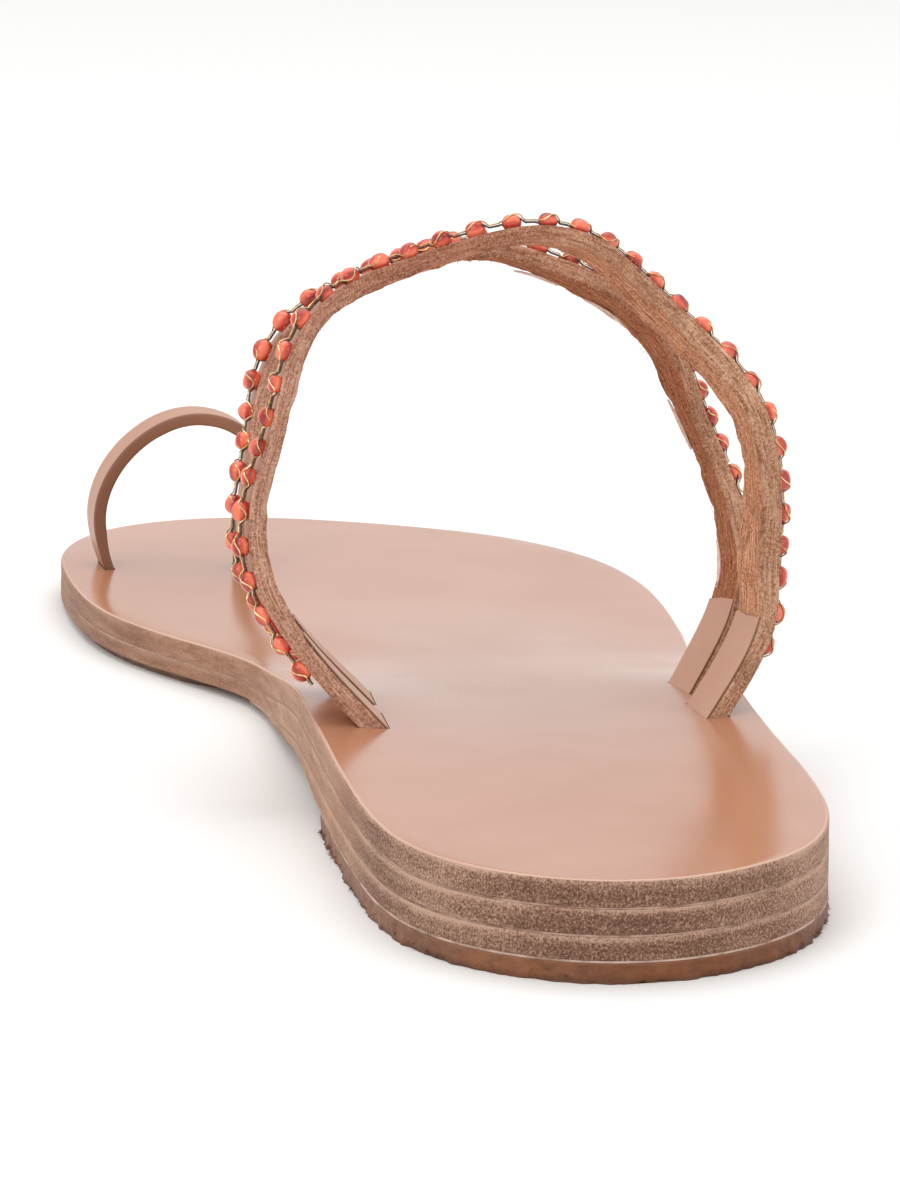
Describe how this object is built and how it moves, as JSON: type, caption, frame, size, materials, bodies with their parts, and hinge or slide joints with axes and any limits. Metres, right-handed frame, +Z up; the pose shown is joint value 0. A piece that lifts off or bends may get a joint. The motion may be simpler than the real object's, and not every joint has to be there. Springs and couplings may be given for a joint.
{
  "type": "flat leather sandal",
  "caption": "Flat leather sandal for the right foot: stacked sole, wavy instep strips that meet and part, a toe loop and strung beads.",
  "frame": {"origin": "middle of the sandal's box on the floor", "axes": "+Y from heel to toe, +X to the little-toe side, +Z up from the floor"},
  "size_m": [0.0878, 0.2507, 0.0805],
  "materials": {
    "insole_leather": "smooth tanned leather with a soft gloss",
    "midsole_leather": "cut and burnished leather edge",
    "lift_leather": "cut and burnished leather edge",
    "heel_rubber": "matt rubber",
    "tread_rubber": "matt rubber",
    "strap_leather": "rough suede side and cut edges",
    "loop_leather": "smooth leather with a dark cut edge",
    "lining_leather": "smooth matt leather",
    "coral_beads": "glossy"
  },
  "bodies": {
    "root": {"insole": "insole_leather", "midsole": "midsole_leather", "heel_lift": "lift_leather", "heel_cap": "heel_rubber", "forefoot_tread": "tread_rubber", "instep_strap": "strap_leather", "toe_loop": "loop_leather", "lining_lateral_back": "lining_leather", "lining_lateral_front": "lining_leather", "lining_medial_back": "lining_leather", "lining_medial_front": "lining_leather", "bead_row_back": "coral_beads", "bead_row_front": "coral_beads"}
  },
  "joints": []
}
